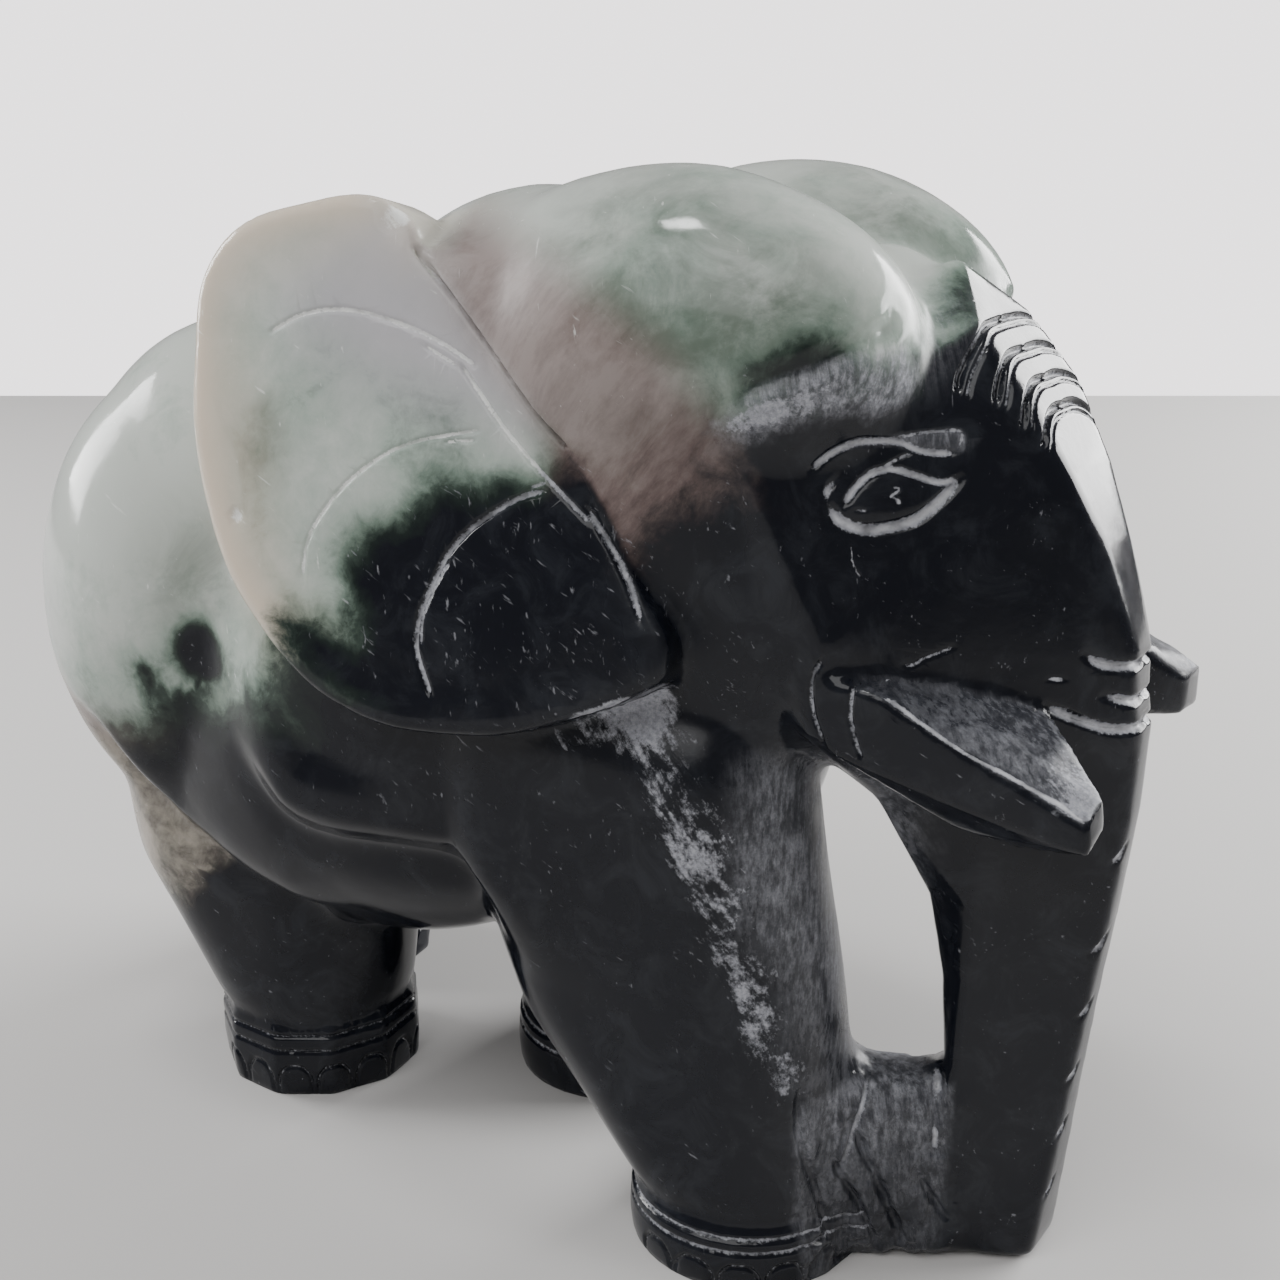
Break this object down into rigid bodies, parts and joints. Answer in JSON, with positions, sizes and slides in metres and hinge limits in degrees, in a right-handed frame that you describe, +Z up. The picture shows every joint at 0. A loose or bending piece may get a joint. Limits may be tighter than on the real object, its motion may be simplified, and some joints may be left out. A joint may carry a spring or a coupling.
{
  "type": "jade elephant statue",
  "caption": "Small carved jade elephant that stands on four feet and its trunk, with slab ears, blunt tusks and a domed head.",
  "frame": {"origin": "middle of the underside of the object's box, on the surface that the feet stand on", "axes": "+X from rump to tusks, +Z up, +Y towards the elephant's left"},
  "size_m": [0.1124, 0.0618, 0.0942],
  "materials": {
    "jade": "highly polished, pale celadon above running into blue-black below"
  },
  "bodies": {
    "root": {"elephant": "jade"}
  },
  "joints": []
}
